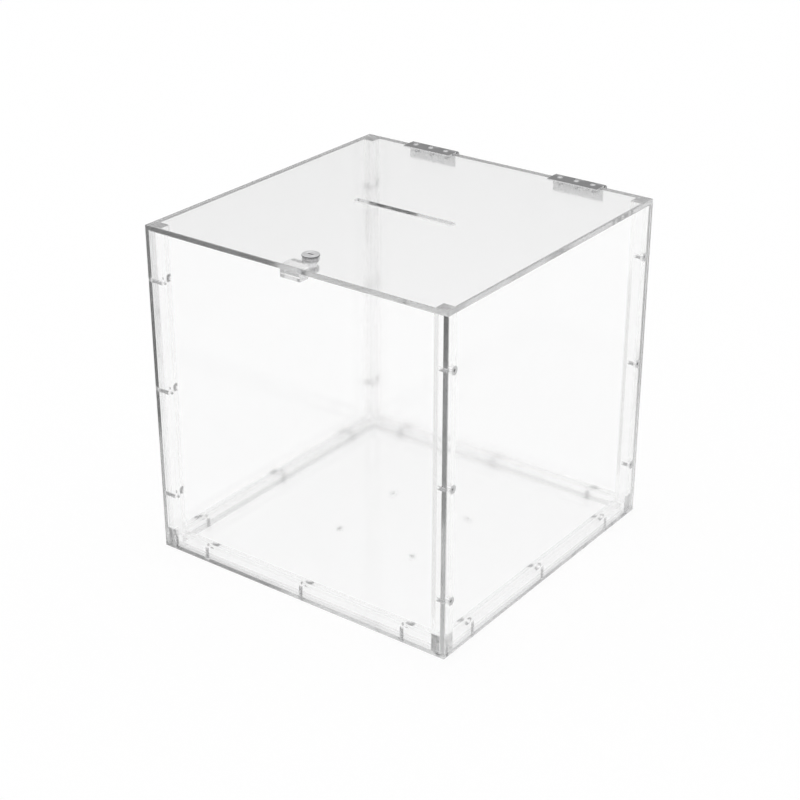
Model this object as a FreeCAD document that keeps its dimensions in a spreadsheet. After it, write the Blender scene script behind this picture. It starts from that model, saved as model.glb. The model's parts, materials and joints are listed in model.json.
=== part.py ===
"""Clear acrylic donation box: a screwed sheet box with a hinged lid, a money slot and a cam lock.

The origin is the middle of the base's underside and +Z is up. The lock is at the front (-Y), and the hinges
are along the back edge (+Y). All sizes are in millimetres.
"""

import math
import os
import re

import FreeCAD
import Part
import Sketcher
from FreeCAD import Placement, Rotation, Vector

SIZES = {
    # sheets and bars
    "box_width": 300.0,
    "box_depth": 300.0,
    "box_height": 300.0,
    "sheet_thickness": 4.0,
    "bar_side": 10.0,
    # money slot in the lid
    "slot_length": 100.0,
    "slot_width": 6.0,
    "slot_corner_radius": 1.0,
    # countersunk screws of the walls and the base
    "screw_shank": 3.5,
    "screw_head": 7.0,
    "screw_tip_cover": 3.2,
    "head_recess": 0.2,
    "shank_clearance": 0.05,
    "base_screw_spacing": 105.0,
    # holes for fastening the box down
    "mount_spacing": 80.0,
    "mount_hole": 4.5,
    # butt hinges
    "hinge_length": 50.0,
    "hinge_spacing": 154.0,
    "leaf_reach": 14.5,
    "leaf_thickness": 1.2,
    "pin_diameter": 2.0,
    "pin_clearance": 0.05,
    "pin_cap_diameter": 3.2,
    "pin_cap_height": 0.8,
    "knuckle_gap": 0.2,
    "hinge_clearance": 0.35,
    "hinge_screw_spacing": 16.5,
    "hinge_screw_reach": 6.6,
    "hinge_screw_shank": 2.5,
    "hinge_screw_head": 5.0,
    "fitting_tip_cover": 0.4,
    "hinge_head_height": 1.4,
    # cam lock
    "lock_inset": 28.0,
    "flange_diameter": 14.8,
    "flange_height": 1.0,
    "flange_bevel": 0.4,
    "barrel_diameter": 10.0,
    "barrel_clearance": 0.1,
    "plug_diameter": 7.0,
    "plug_face_diameter": 9.0,
    "plug_face_height": 1.2,
    "plug_recess": 0.15,
    "plug_clearance": 0.05,
    "keyway_length": 5.6,
    "keyway_width": 1.1,
    "keyway_depth": 4.0,
    "nut_across_flats": 13.0,
    "nut_height": 3.0,
    "cam_thickness": 2.6,
    "cam_width": 12.0,
    "cam_hub_diameter": 13.0,
    "cam_tip_radius": 2.0,
    "cam_tip_gap": 1.0,
    "cam_clearance": 0.2,
    "cam_square": 4.6,
    "cam_screw_shank": 2.5,
    "cam_screw_head": 6.0,
    "cam_head_height": 1.8,
    "cam_screw_bite": 5.0,
    # catch on the front panel
    "catch_length": 20.0,
    "catch_gap": 0.3,
    "cam_gap": 0.4,
}

# Places that several pieces share, as formulas of the sizes above.
WALL_TOP = "(box_height - sheet_thickness)"
INNER_X = "(box_width/2 - sheet_thickness)"
INNER_Y = "(box_depth/2 - sheet_thickness)"
BAR_X = "(box_width/2 - sheet_thickness - bar_side/2)"
BAR_Y = "(box_depth/2 - sheet_thickness - bar_side/2)"
SCREW_LENGTH = "(sheet_thickness + bar_side - head_recess - screw_tip_cover)"
SCREW_BORE = "(screw_shank/2 + shank_clearance)"
BORE_DEPTH = "(bar_side - screw_tip_cover + shank_clearance)"
KNUCKLE_RADIUS = "(pin_diameter/2 + leaf_thickness)"
LEAF_ROOT = f"sqrt({KNUCKLE_RADIUS}^2 - (pin_diameter/2)^2)"
AXIS_Y = f"(box_depth/2 + {KNUCKLE_RADIUS})"
AXIS_Z = f"(box_height + leaf_thickness - {KNUCKLE_RADIUS})"
LID_BACK = "(box_depth/2 - hinge_clearance)"
LOCK_Y = "(lock_inset - box_depth/2)"
CATCH_TOP = f"({WALL_TOP} - catch_gap)"
CATCH_BOTTOM = f"({CATCH_TOP} - 2*sheet_thickness)"
CAM_TOP = f"({CATCH_BOTTOM} - cam_gap)"
CAM_REACH = "(lock_inset - sheet_thickness - cam_tip_gap)"
PLUG_FACE = "(box_height + flange_height - plug_recess)"
HINGE_SIDES = {"left": "-hinge_spacing/2", "right": "hinge_spacing/2"}
KNUCKLES = 5

doc = FreeCAD.newDocument("DonationBox")
sheet = doc.addObject("Spreadsheet::Sheet", "Sizes")
for row, (alias, number) in enumerate(SIZES.items(), start=1):
    sheet.set(f"A{row}", alias)
    sheet.set(f"B{row}", str(number))
    sheet.setAlias(f"B{row}", alias)
doc.recompute()

ALIAS = re.compile(r"\b(" + "|".join(SIZES) + r")\b")
pieces = []


def formula(text):
    """The text with each size written as a cell of the sheet."""
    return ALIAS.sub(r"Sizes.\1", text)


def value(text):
    """The number that a formula of the sizes has now."""
    return float(sheet.evalExpression(formula(text)))


def bind(thing, **formulas):
    """Tie properties to formulas; a double underscore in a name stands for a dot."""
    for name, text in formulas.items():
        thing.setExpression(name.replace("__", "."), formula(text))


def bind_place(thing, x="0", y="0", z="0"):
    """Tie the position of a piece to formulas."""
    for axis, text in (("x", x), ("y", y), ("z", z)):
        thing.setExpression(f"Placement.Base.{axis}", formula(text))


def new_body(label):
    """An empty body that is one of the box's pieces."""
    body = doc.addObject("PartDesign::Body", label)
    body.Label = label
    pieces.append(body)
    return body


def new_sketch(body, role, level="0"):
    """A sketch on one of the body's own origin planes, moved along that plane's normal by level."""
    plane = next(item for item in body.Origin.OriginFeatures if item.Role == role)
    sketch = body.newObject("Sketcher::SketchObject", "Sketch")
    sketch.AttachmentSupport = [(plane, "")]
    sketch.MapMode = "FlatFace"
    bind(sketch, AttachmentOffset__Base__z=level)
    return sketch


def fix_point(sketch, curve, end, x, y):
    """Hold one point of a curve at formulas of its two coordinates."""
    for kind, text in (("DistanceX", x), ("DistanceY", y)):
        number = sketch.addConstraint(Sketcher.Constraint(kind, -1, 1, curve, end, value(text)))
        sketch.setExpression(f"Constraints[{number}]", formula(text))


def draw_lines(sketch, corners):
    """A chain of straight lines through corners given as formulas."""
    points = [Vector(value(x), value(y), 0) for x, y in corners]
    lines = [sketch.addGeometry(Part.LineSegment(*ends)) for ends in zip(points, points[1:])]
    for line, corner in zip(lines, corners):
        fix_point(sketch, line, 1, *corner)
    for line, following in zip(lines, lines[1:]):
        sketch.addConstraint(Sketcher.Constraint("Coincident", line, 2, following, 1))
    fix_point(sketch, lines[-1], 2, *corners[-1])
    return lines


def draw_polygon(sketch, corners):
    """A closed outline of straight lines."""
    draw_lines(sketch, corners + corners[:1])


def draw_rectangle(sketch, left, right, low, high):
    """A closed rectangle between four formulas."""
    draw_polygon(sketch, [(left, low), (right, low), (right, high), (left, high)])


def draw_circle(sketch, x, y, radius):
    """A circle with its centre and radius tied to formulas."""
    centre = Vector(value(x), value(y), 0)
    circle = sketch.addGeometry(Part.Circle(centre, Vector(0, 0, 1), value(radius)))
    fix_point(sketch, circle, 3, x, y)
    number = sketch.addConstraint(Sketcher.Constraint("Radius", circle, value(radius)))
    sketch.setExpression(f"Constraints[{number}]", formula(radius))


def pad(body, sketch, length, midplane=False):
    """Raise a sketch into a solid."""
    feature = body.newObject("PartDesign::Pad", "Pad")
    feature.Profile = sketch
    feature.Midplane = midplane
    bind(feature, Length=length)
    return feature


def pocket_through(body, sketch):
    """Cut a sketch right through the body, both ways."""
    feature = body.newObject("PartDesign::Pocket", "Pocket")
    feature.Profile = sketch
    feature.Type = "ThroughAll"
    feature.Midplane = True
    return feature


def drill(body, role, centres, radius):
    """Plain holes right through the body along the plane's normal."""
    sketch = new_sketch(body, role)
    for x, y in centres:
        draw_circle(sketch, x, y, radius)
    return pocket_through(body, sketch)


def bore_bar(body, role, level, centres, into_normal):
    """Blind screw holes in a bar from its face at level; into_normal drills along the plane's normal."""
    sketch = new_sketch(body, role, level)
    for x, y in centres:
        draw_circle(sketch, x, y, SCREW_BORE)
    feature = body.newObject("PartDesign::Pocket", "Pocket")
    feature.Profile = sketch
    feature.Reversed = into_normal
    bind(feature, Length=BORE_DEPTH)


def countersink(body, role, level, centres, into_normal):
    """Countersunk screw holes from the outer face at level; into_normal drills along the plane's normal."""
    sketch = new_sketch(body, role, level)
    for x, y in centres:
        draw_circle(sketch, x, y, "screw_shank/2")
    doc.recompute()
    feature = body.newObject("PartDesign::Hole", "Hole")
    feature.Profile = sketch
    feature.DepthType = "ThroughAll"
    feature.Reversed = into_normal
    feature.HoleCutType = "Countersink"
    feature.HoleCutCustomValues = True
    feature.HoleCutCountersinkAngle = 90
    bind(feature, Diameter="screw_shank + 2*shank_clearance", HoleCutDiameter="screw_head + 2*head_recess")
    return feature


def round_upright_edges(body, feature, left, right, radius):
    """Round the upright corners of a feature that lie between two formulas of X."""
    doc.recompute()
    corners = []
    for number, edge in enumerate(feature.Shape.Edges, start=1):
        bounds = edge.BoundBox
        upright = bounds.ZLength > max(bounds.XLength, bounds.YLength)
        if upright and value(left) < edge.CenterOfMass.x < value(right):
            corners.append(f"Edge{number}")
    rounding = body.newObject("PartDesign::Fillet", "Fillet")
    rounding.Base = (feature, corners)
    bind(rounding, Radius=radius)


def plate(label, role, level, left, right, low, high):
    """A rectangular sheet of acrylic, raised from level along the plane's normal."""
    body = new_body(label)
    sketch = new_sketch(body, role, level)
    draw_rectangle(sketch, left, right, low, high)
    pad(body, sketch, "sheet_thickness")
    return body


def wall_screw_places():
    """Depth and height of the six screws through a side panel: three up each corner post."""
    heights = ("box_height/6", "box_height/2", "5*box_height/6")
    return [(f"{side}{BAR_Y}", height) for side in ("-", "") for height in heights]


def base_screw_places():
    """The sixteen screws through the base: three along each cleat and one under each post."""
    steps = ("-base_screw_spacing", "0", "base_screw_spacing")
    along_width = [(step, f"{side}{BAR_Y}") for side in ("-", "") for step in steps]
    along_depth = [(f"{side}{BAR_X}", step) for side in ("-", "") for step in steps]
    corners = [(f"{side}{BAR_X}", f"{end}{BAR_Y}") for side in ("-", "") for end in ("-", "")]
    return along_width + along_depth + corners


def hinge_screw_offsets():
    """Where the three screws of a leaf lie along it, seen from the leaf's middle."""
    return ["-hinge_screw_spacing", "0", "hinge_screw_spacing"]


def hinge_screw_columns():
    """Where the six screws of a row lie across the box."""
    return [f"{side} + {offset}" for side in HINGE_SIDES.values() for offset in hinge_screw_offsets()]


def make_base():
    """The bottom sheet, with the screws' countersinks below and four holes for fastening the box down."""
    body = plate("base_panel", "XY_Plane", "0", "-box_width/2", "box_width/2", "-box_depth/2", "box_depth/2")
    half = "mount_spacing/2"
    drill(body, "XY_Plane", [(x, y) for x in (half, f"-{half}") for y in (half, f"-{half}")], "mount_hole/2")
    countersink(body, "XY_Plane", "0", base_screw_places(), into_normal=True)


def make_walls():
    """Side panels over the full depth, and front and back panels between them."""
    side_edges = ("-box_depth/2", "box_depth/2", "sheet_thickness", WALL_TOP)
    left = plate("left_panel", "YZ_Plane", "-box_width/2", *side_edges)
    countersink(left, "YZ_Plane", "-box_width/2", wall_screw_places(), into_normal=True)
    right = plate("right_panel", "YZ_Plane", INNER_X, *side_edges)
    countersink(right, "YZ_Plane", "box_width/2", wall_screw_places(), into_normal=False)

    end_edges = (f"-{INNER_X}", INNER_X, "sheet_thickness", WALL_TOP)
    plate("front_panel", "XZ_Plane", INNER_Y, *end_edges)
    back = plate("back_panel", "XZ_Plane", "-box_depth/2", *end_edges)
    row = f"{AXIS_Z} - hinge_screw_reach"
    centres = [(column, row) for column in hinge_screw_columns()]
    drill(back, "XZ_Plane", centres, "hinge_screw_shank/2 + shank_clearance")


def make_post(label, side, end):
    """A corner post, drilled for its three wall screws and for the base screw in its foot."""
    body = new_body(label)
    sketch = new_sketch(body, "XY_Plane", "sheet_thickness")
    x = f"{side}{BAR_X}"
    y = f"{end}{BAR_Y}"
    draw_rectangle(sketch, f"{x} - bar_side/2", f"{x} + bar_side/2", f"{y} - bar_side/2", f"{y} + bar_side/2")
    pad(body, sketch, f"{WALL_TOP} - sheet_thickness")
    centres = [place for place in wall_screw_places() if place[0] == y]
    bore_bar(body, "YZ_Plane", f"{side}{INNER_X}", centres, into_normal=side == "-")
    bore_bar(body, "XY_Plane", "sheet_thickness", [(x, y)], into_normal=True)


def make_cleat(label, along_x, sign):
    """A bottom cleat between two posts, drilled for its three base screws."""
    body = new_body(label)
    sketch = new_sketch(body, "XY_Plane", "sheet_thickness")
    if along_x:
        middle = f"{sign}{BAR_Y}"
        end = f"({INNER_X} - bar_side)"
        draw_rectangle(sketch, f"-{end}", end, f"{middle} - bar_side/2", f"{middle} + bar_side/2")
        centres = [place for place in base_screw_places() if place[1] == middle][:3]
    else:
        middle = f"{sign}{BAR_X}"
        end = f"({INNER_Y} - bar_side)"
        draw_rectangle(sketch, f"{middle} - bar_side/2", f"{middle} + bar_side/2", f"-{end}", end)
        centres = [place for place in base_screw_places() if place[0] == middle][:3]
    pad(body, sketch, "bar_side")
    bore_bar(body, "XY_Plane", "sheet_thickness", centres, into_normal=True)


def make_frame_bars():
    """The four corner posts and the four bottom cleats."""
    for end_name, end in (("front", "-"), ("back", "")):
        for side_name, side in (("left", "-"), ("right", "")):
            make_post(f"corner_post_{end_name}_{side_name}", side, end)
        make_cleat(f"bottom_cleat_{end_name}", True, end)
    for side_name, side in (("left", "-"), ("right", "")):
        make_cleat(f"bottom_cleat_{side_name}", False, side)


def make_lid():
    """The lid sheet, with the money slot, the lock's hole and the hinge screws' holes."""
    edges = ("-box_width/2", "box_width/2", "-box_depth/2", LID_BACK)
    body = plate("lid_panel", "XY_Plane", WALL_TOP, *edges)
    slot = new_sketch(body, "XY_Plane")
    draw_rectangle(slot, "-slot_length/2", "slot_length/2", "-slot_width/2", "slot_width/2")
    cut = pocket_through(body, slot)
    round_upright_edges(body, cut, "-slot_length", "slot_length", "slot_corner_radius")
    drill(body, "XY_Plane", [("0", LOCK_Y)], "barrel_diameter/2 + barrel_clearance")
    row = f"{AXIS_Y} - hinge_screw_reach"
    centres = [(column, row) for column in hinge_screw_columns()]
    drill(body, "XY_Plane", centres, "hinge_screw_shank/2 + shank_clearance")


def make_leaf(label, centre, turn, own_knuckles):
    """One leaf of a hinge, drawn about its pin: local Y runs out along the leaf, local Z across it."""
    body = new_body(label)
    profile = new_sketch(body, "YZ_Plane")
    radius = value(KNUCKLE_RADIUS)
    under = f"({KNUCKLE_RADIUS} - leaf_thickness)"
    lines = draw_lines(profile, [
        ("0", KNUCKLE_RADIUS), ("leaf_reach", KNUCKLE_RADIUS), ("leaf_reach", under), (LEAF_ROOT, under),
    ])
    circle = Part.Circle(Vector(0, 0, 0), Vector(0, 0, 1), radius)
    full_turn = 2 * math.pi + math.asin(value(under) / radius)
    curl = profile.addGeometry(Part.ArcOfCircle(circle, math.pi / 2, full_turn))
    profile.addConstraint(Sketcher.Constraint("Coincident", curl, 1, lines[0], 1))
    profile.addConstraint(Sketcher.Constraint("Coincident", curl, 2, lines[-1], 2))
    profile.addConstraint(Sketcher.Constraint("PointOnObject", curl, 3, -2))
    draw_circle(profile, "0", "0", "pin_diameter/2 + pin_clearance")
    pad(body, profile, "hinge_length", midplane=True)

    gaps = new_sketch(body, "XY_Plane")
    back = f"-2*{KNUCKLE_RADIUS}"
    front = f"({KNUCKLE_RADIUS} + hinge_clearance)"
    for place in range(KNUCKLES):
        if place in own_knuckles:
            continue
        left = f"hinge_length*({place}/{KNUCKLES} - 0.5) - knuckle_gap"
        right = f"hinge_length*({place + 1}/{KNUCKLES} - 0.5) + knuckle_gap"
        draw_rectangle(gaps, left, right, back, front)
    pocket_through(body, gaps)
    centres = [(offset, "hinge_screw_reach") for offset in hinge_screw_offsets()]
    drill(body, "XY_Plane", centres, "hinge_screw_shank/2 + shank_clearance")
    body.Placement.Rotation = turn
    bind_place(body, centre, AXIS_Y, AXIS_Z)


def make_pin(label, centre):
    """A hinge pin with a flat cap at each end."""
    body = new_body(label)
    half = "hinge_length/2"
    shank = new_sketch(body, "YZ_Plane")
    draw_circle(shank, "0", "0", "pin_diameter/2")
    pad(body, shank, "hinge_length + pin_cap_height", midplane=True)
    for level in (half, f"-({half} + pin_cap_height)"):
        cap = new_sketch(body, "YZ_Plane", level)
        draw_circle(cap, "0", "0", "pin_cap_diameter/2")
        pad(body, cap, "pin_cap_height")
    bind_place(body, centre, AXIS_Y, AXIS_Z)


def make_hinges():
    """Two butt hinges: leaves on the back panel and on the lid, and a pin through their knuckles."""
    onto_back = Rotation(Vector(0, 1, -1), 180)
    onto_lid = Rotation(Vector(0, 0, 1), 180)
    for side, centre in HINGE_SIDES.items():
        make_leaf(f"hinge_back_leaf_{side}", centre, onto_back, (0, 2, 4))
        make_leaf(f"hinge_lid_leaf_{side}", centre, onto_lid, (1, 3))
        make_pin(f"hinge_pin_{side}", centre)


def turn(body, sketch):
    """Turn a sketch about the body's Z axis."""
    feature = body.newObject("PartDesign::Revolution", "Revolution")
    feature.Profile = sketch
    feature.ReferenceAxis = (sketch, ["V_Axis"])
    feature.Angle = 360


def turn_polygon(body, corners):
    """A turned piece: an outline of radius and height, turned about the body's Z axis."""
    sketch = new_sketch(body, "XZ_Plane")
    draw_polygon(sketch, corners)
    turn(body, sketch)


def make_lock_body():
    """The fixed shell of the lock: a bevelled flange on the lid and a barrel below it, bored for the plug."""
    body = new_body("lock_body")
    top = "box_height + flange_height"
    bore = "plug_diameter/2 + plug_clearance"
    seat = "plug_face_diameter/2 + plug_clearance"
    step = f"{PLUG_FACE} - plug_face_height - plug_clearance"
    bottom = f"{CAM_TOP} + cam_clearance"
    turn_polygon(body, [
        (bore, bottom), ("barrel_diameter/2", bottom), ("barrel_diameter/2", "box_height"),
        ("flange_diameter/2", "box_height"), ("flange_diameter/2", f"{top} - flange_bevel"),
        ("flange_diameter/2 - flange_bevel", top), (seat, top), (seat, step), (bore, step),
    ])
    bind_place(body, y=LOCK_Y)


def make_lock_nut():
    """The hexagon nut that clamps the lock under the lid."""
    body = new_body("lock_nut")
    sketch = new_sketch(body, "XY_Plane", f"{WALL_TOP} - nut_height")
    across = "nut_across_flats"
    side = f"{across}/2/sqrt(3)"
    corner = f"{across}/sqrt(3)"
    draw_polygon(sketch, [
        (corner, "0"), (side, f"{across}/2"), (f"-{side}", f"{across}/2"),
        (f"-{corner}", "0"), (f"-{side}", f"-{across}/2"), (side, f"-{across}/2"),
    ])
    draw_circle(sketch, "0", "0", "barrel_diameter/2 + barrel_clearance")
    pad(body, sketch, "nut_height")
    bind_place(body, y=LOCK_Y)


def make_lock_plug():
    """The turning core: a face with the keyway, a stem in the barrel and a square end for the cam."""
    body = new_body("lock_plug")
    step = f"{PLUG_FACE} - plug_face_height"
    turn_polygon(body, [
        ("0", CAM_TOP), ("plug_diameter/2", CAM_TOP), ("plug_diameter/2", step),
        ("plug_face_diameter/2", step), ("plug_face_diameter/2", PLUG_FACE), ("0", PLUG_FACE),
    ])
    keyway = new_sketch(body, "XY_Plane", PLUG_FACE)
    draw_rectangle(keyway, "-keyway_length/2", "keyway_length/2", "-keyway_width/2", "keyway_width/2")
    cut = body.newObject("PartDesign::Pocket", "Pocket")
    cut.Profile = keyway
    bind(cut, Length="keyway_depth")

    end = new_sketch(body, "XY_Plane", f"{CAM_TOP} - cam_thickness")
    draw_rectangle(end, "-cam_square/2", "cam_square/2", "-cam_square/2", "cam_square/2")
    pad(body, end, "cam_thickness")
    bore = new_sketch(body, "XY_Plane", f"{CAM_TOP} - cam_thickness")
    draw_circle(bore, "0", "0", "cam_screw_shank/2 + shank_clearance")
    hole = body.newObject("PartDesign::Pocket", "Pocket")
    hole.Profile = bore
    hole.Reversed = True
    bind(hole, Length="cam_thickness + cam_screw_bite")
    bind_place(body, y=LOCK_Y)


def make_lock_cam():
    """The flat cam, pointing to the left in the open position, with a round hub and rounded tip corners."""
    body = new_body("lock_cam")
    level = f"{CAM_TOP} - cam_thickness"
    hub = new_sketch(body, "XY_Plane", level)
    draw_circle(hub, "0", "0", "cam_hub_diameter/2")
    pad(body, hub, "cam_thickness")
    arm = new_sketch(body, "XY_Plane", level)
    draw_rectangle(arm, f"-{CAM_REACH}", "0", "-cam_width/2", "cam_width/2")
    blade = pad(body, arm, "cam_thickness")
    round_upright_edges(body, blade, f"-2*{CAM_REACH}", "-cam_hub_diameter/2", "cam_tip_radius")
    square = new_sketch(body, "XY_Plane")
    half = "(cam_square/2 + shank_clearance)"
    draw_rectangle(square, f"-{half}", half, f"-{half}", half)
    pocket_through(body, square)
    bind_place(body, y=LOCK_Y)


def make_cam_screw():
    """The screw that holds the cam on the plug's square end, with its head below the cam."""
    body = new_body("cam_screw")
    seat = f"{CAM_TOP} - cam_thickness"
    tip = f"{CAM_TOP} + cam_screw_bite - fitting_tip_cover"
    turn_polygon(body, [
        ("0", f"{seat} - cam_head_height"), ("cam_screw_head/2", f"{seat} - cam_head_height"),
        ("cam_screw_head/2", seat), ("cam_screw_shank/2", seat), ("cam_screw_shank/2", tip), ("0", tip),
    ])
    bind_place(body, y=LOCK_Y)


def make_catch():
    """The clear block on the inside of the front panel that the cam turns under."""
    block = doc.addObject("Part::Box", "catch_block")
    block.Label = "catch_block"
    bind(block, Length="catch_length", Width="bar_side", Height="2*sheet_thickness")
    bind_place(block, "-catch_length/2", f"-{INNER_Y}", CATCH_BOTTOM)
    pieces.append(block)


def countersunk_screw():
    """One flat-headed screw, with its head's top at the origin and its tip along +Z."""
    body = doc.addObject("PartDesign::Body", "CountersunkScrew")
    cone = "(screw_head - screw_shank)/2"
    turn_polygon(body, [
        ("0", "0"), ("screw_head/2", "0"), ("screw_shank/2", cone),
        ("screw_shank/2", f"{SCREW_LENGTH} - screw_shank/2"), ("0", SCREW_LENGTH),
    ])
    return body


def domed_screw():
    """One domed screw, with the head's seat at the origin, the dome along -Z and the shank along +Z."""
    body = doc.addObject("PartDesign::Body", "DomedScrew")
    length = "(leaf_thickness + sheet_thickness - fitting_tip_cover)"
    sketch = new_sketch(body, "XZ_Plane")
    lines = draw_lines(sketch, [
        ("0", "-hinge_head_height"), ("0", length), ("hinge_screw_shank/2", length),
        ("hinge_screw_shank/2", "0"), ("hinge_screw_head/2", "0"),
    ])
    height = value("hinge_head_height")
    rim = value("hinge_screw_head/2")
    ball = (rim**2 + height**2) / (2 * height)
    circle = Part.Circle(Vector(0, ball - height, 0), Vector(0, 0, 1), ball)
    dome = sketch.addGeometry(Part.ArcOfCircle(circle, -math.pi / 2, math.atan2(height - ball, rim)))
    sketch.addConstraint(Sketcher.Constraint("Coincident", lines[-1], 2, dome, 2))
    sketch.addConstraint(Sketcher.Constraint("Coincident", dome, 1, lines[0], 1))
    sketch.addConstraint(Sketcher.Constraint("PointOnObject", dome, 3, -2))
    turn(body, sketch)
    return body


def make_screw_group(label, screw, places):
    """Equal screws in one piece: a place is a point and the direction that the screw is driven in."""
    group = doc.addObject("Part::Feature", label)
    group.Label = label
    copies = []
    for x, y, z, drive in places:
        copy = screw.Shape.copy()
        copy.Placement = Placement(Vector(value(x), value(y), value(z)), Rotation(Vector(0, 0, 1), drive))
        copies.append(copy)
    group.Shape = Part.makeCompound(copies)
    pieces.append(group)


def make_screws():
    """All groups of screws, in the holes that the panels, bars and leaves have for them."""
    flat = countersunk_screw()
    domed = domed_screw()
    doc.recompute()
    inward = Vector(1, 0, 0)
    sunk = "(box_width/2 - head_recess)"
    left = [(f"-{sunk}", y, z, inward) for y, z in wall_screw_places()]
    right = [(sunk, y, z, -inward) for y, z in wall_screw_places()]
    base = [(x, y, "head_recess", Vector(0, 0, 1)) for x, y in base_screw_places()]
    make_screw_group("left_wall_screws", flat, left)
    make_screw_group("right_wall_screws", flat, right)
    make_screw_group("base_screws", flat, base)

    columns = hinge_screw_columns()
    back_row = f"{AXIS_Z} - hinge_screw_reach"
    lid_row = f"{AXIS_Y} - hinge_screw_reach"
    back = [(x, "box_depth/2 + leaf_thickness", back_row, Vector(0, -1, 0)) for x in columns]
    lid = [(x, lid_row, "box_height + leaf_thickness", Vector(0, 0, -1)) for x in columns]
    make_screw_group("hinge_back_screws", domed, back)
    make_screw_group("hinge_lid_screws", domed, lid)


def check_document():
    """Stop if any object failed or any piece has no sound shape."""
    doc.recompute()
    failed = [item.Label for item in doc.Objects if {"Invalid", "Error"} & set(item.State)]
    unsound = [piece.Label for piece in pieces if piece.Shape.isNull() or not piece.Shape.isValid()]
    if failed or unsound:
        raise SystemExit(f"failed objects: {failed}, unsound pieces: {unsound}")


def export_pieces():
    """Write each piece to a file of its own."""
    os.makedirs("parts", exist_ok=True)
    for piece in pieces:
        piece.Shape.exportStep(f"parts/{piece.Label}.step")
        print(f"{piece.Label}: {len(piece.Shape.Solids)} solids, {piece.Shape.Volume:.0f} cubic mm")


make_base()
make_walls()
make_frame_bars()
make_lid()
make_hinges()
make_lock_body()
make_lock_nut()
make_lock_plug()
make_lock_cam()
make_cam_screw()
make_catch()
make_screws()
check_document()
export_pieces()
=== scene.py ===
# %% [markdown]
# # A clear acrylic donation box
# The real box is six sheets of clear acrylic, four square corner posts and four bottom cleats, held by small
# steel screws. The lid swings on two steel butt hinges and is kept shut by a cam lock. The solids come
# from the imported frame, and this lesson gives each of them its finish. It starts by loading that frame.

# %% Load the frame
import json
import math

import bmesh
import bpy
from mathutils import Matrix, Vector


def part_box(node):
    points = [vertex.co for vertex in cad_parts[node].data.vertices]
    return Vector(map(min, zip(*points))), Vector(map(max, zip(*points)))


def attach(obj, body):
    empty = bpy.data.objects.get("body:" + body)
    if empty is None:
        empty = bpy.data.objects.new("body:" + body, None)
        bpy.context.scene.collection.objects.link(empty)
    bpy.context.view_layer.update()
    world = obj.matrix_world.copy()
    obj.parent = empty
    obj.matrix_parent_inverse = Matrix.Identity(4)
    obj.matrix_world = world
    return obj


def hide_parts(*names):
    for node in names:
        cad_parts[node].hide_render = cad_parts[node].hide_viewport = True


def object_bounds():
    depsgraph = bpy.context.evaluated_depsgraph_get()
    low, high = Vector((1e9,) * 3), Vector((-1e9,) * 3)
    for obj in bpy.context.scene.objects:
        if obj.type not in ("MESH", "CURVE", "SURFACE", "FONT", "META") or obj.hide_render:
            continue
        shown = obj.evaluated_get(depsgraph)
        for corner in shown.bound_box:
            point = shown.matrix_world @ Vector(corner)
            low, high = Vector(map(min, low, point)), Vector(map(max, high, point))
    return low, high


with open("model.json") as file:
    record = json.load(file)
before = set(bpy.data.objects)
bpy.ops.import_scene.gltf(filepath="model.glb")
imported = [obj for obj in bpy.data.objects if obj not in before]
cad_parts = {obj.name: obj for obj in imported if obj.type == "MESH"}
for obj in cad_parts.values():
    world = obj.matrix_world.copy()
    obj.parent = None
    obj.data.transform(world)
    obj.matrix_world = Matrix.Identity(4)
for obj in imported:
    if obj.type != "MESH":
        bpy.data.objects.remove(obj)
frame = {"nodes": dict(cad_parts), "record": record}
cad_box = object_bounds()
scene = bpy.context.scene
MM = 0.001
print("nodes in the frame:", len(frame["nodes"]))

# %% [markdown]
# ## Camera
# The photograph looks down on the front right corner. Its edges were fitted with a plain pinhole camera, so
# the lens, place and angles below are that camera's, with no shift and no roll.

# %% Place the camera
CAMERA_PLACE = (0.8233, -1.1196, 0.8074)
CAMERA_PITCH = 63.904
CAMERA_YAW = 36.4645
CAMERA_LENS = 80.25
SENSOR = 36.0

camera_data = bpy.data.cameras.new("camera")
camera_data.lens = CAMERA_LENS
camera_data.sensor_width = SENSOR
camera = bpy.data.objects.new("camera", camera_data)
camera.location = CAMERA_PLACE
camera.rotation_euler = (math.radians(CAMERA_PITCH), 0.0, math.radians(CAMERA_YAW))
scene.collection.objects.link(camera)
scene.camera = camera
print("camera lens in mm:", round(camera_data.lens, 2))

# %% [markdown]
# ## Small helpers for materials
# Every finish here is made of shader nodes. A short helper adds a node and sets its plain values, so that
# each material below reads as a list of what the surface is made of.

# %% Helpers for nodes


def add_node(tree, kind, **values):
    """Add one node to a tree and set its properties, or its inputs where the name is an input's."""
    node = tree.nodes.new(kind)
    for name, value in values.items():
        socket = node.inputs.get(name.replace("_", " "))
        if socket is not None:
            socket.default_value = value
        else:
            setattr(node, name, value)
    return node


def new_material(name):
    """An empty node material with its output."""
    material = bpy.data.materials.new(name)
    material.use_nodes = True
    material.node_tree.nodes.clear()
    output = add_node(material.node_tree, "ShaderNodeOutputMaterial")
    return material, material.node_tree, output


print("node helpers:", add_node.__name__, new_material.__name__)

# %% [markdown]
# ## Handling marks
# A box that stands on a counter gets wiped and handled. Fine hairlines and soft smudges show on the plastic
# and on the metal alike, so they are one node group with its own scale and strength in each material.

# %% Group for hairlines and smudges
SMUDGE_RANGE = (0.48, 0.72)
HAIR_RANGE = (0.66, 0.76)
HAIR_STRETCH = (9.0, 150.0, 150.0)
HAIR_TURN = (0.3, 0.5, 0.7)


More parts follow.
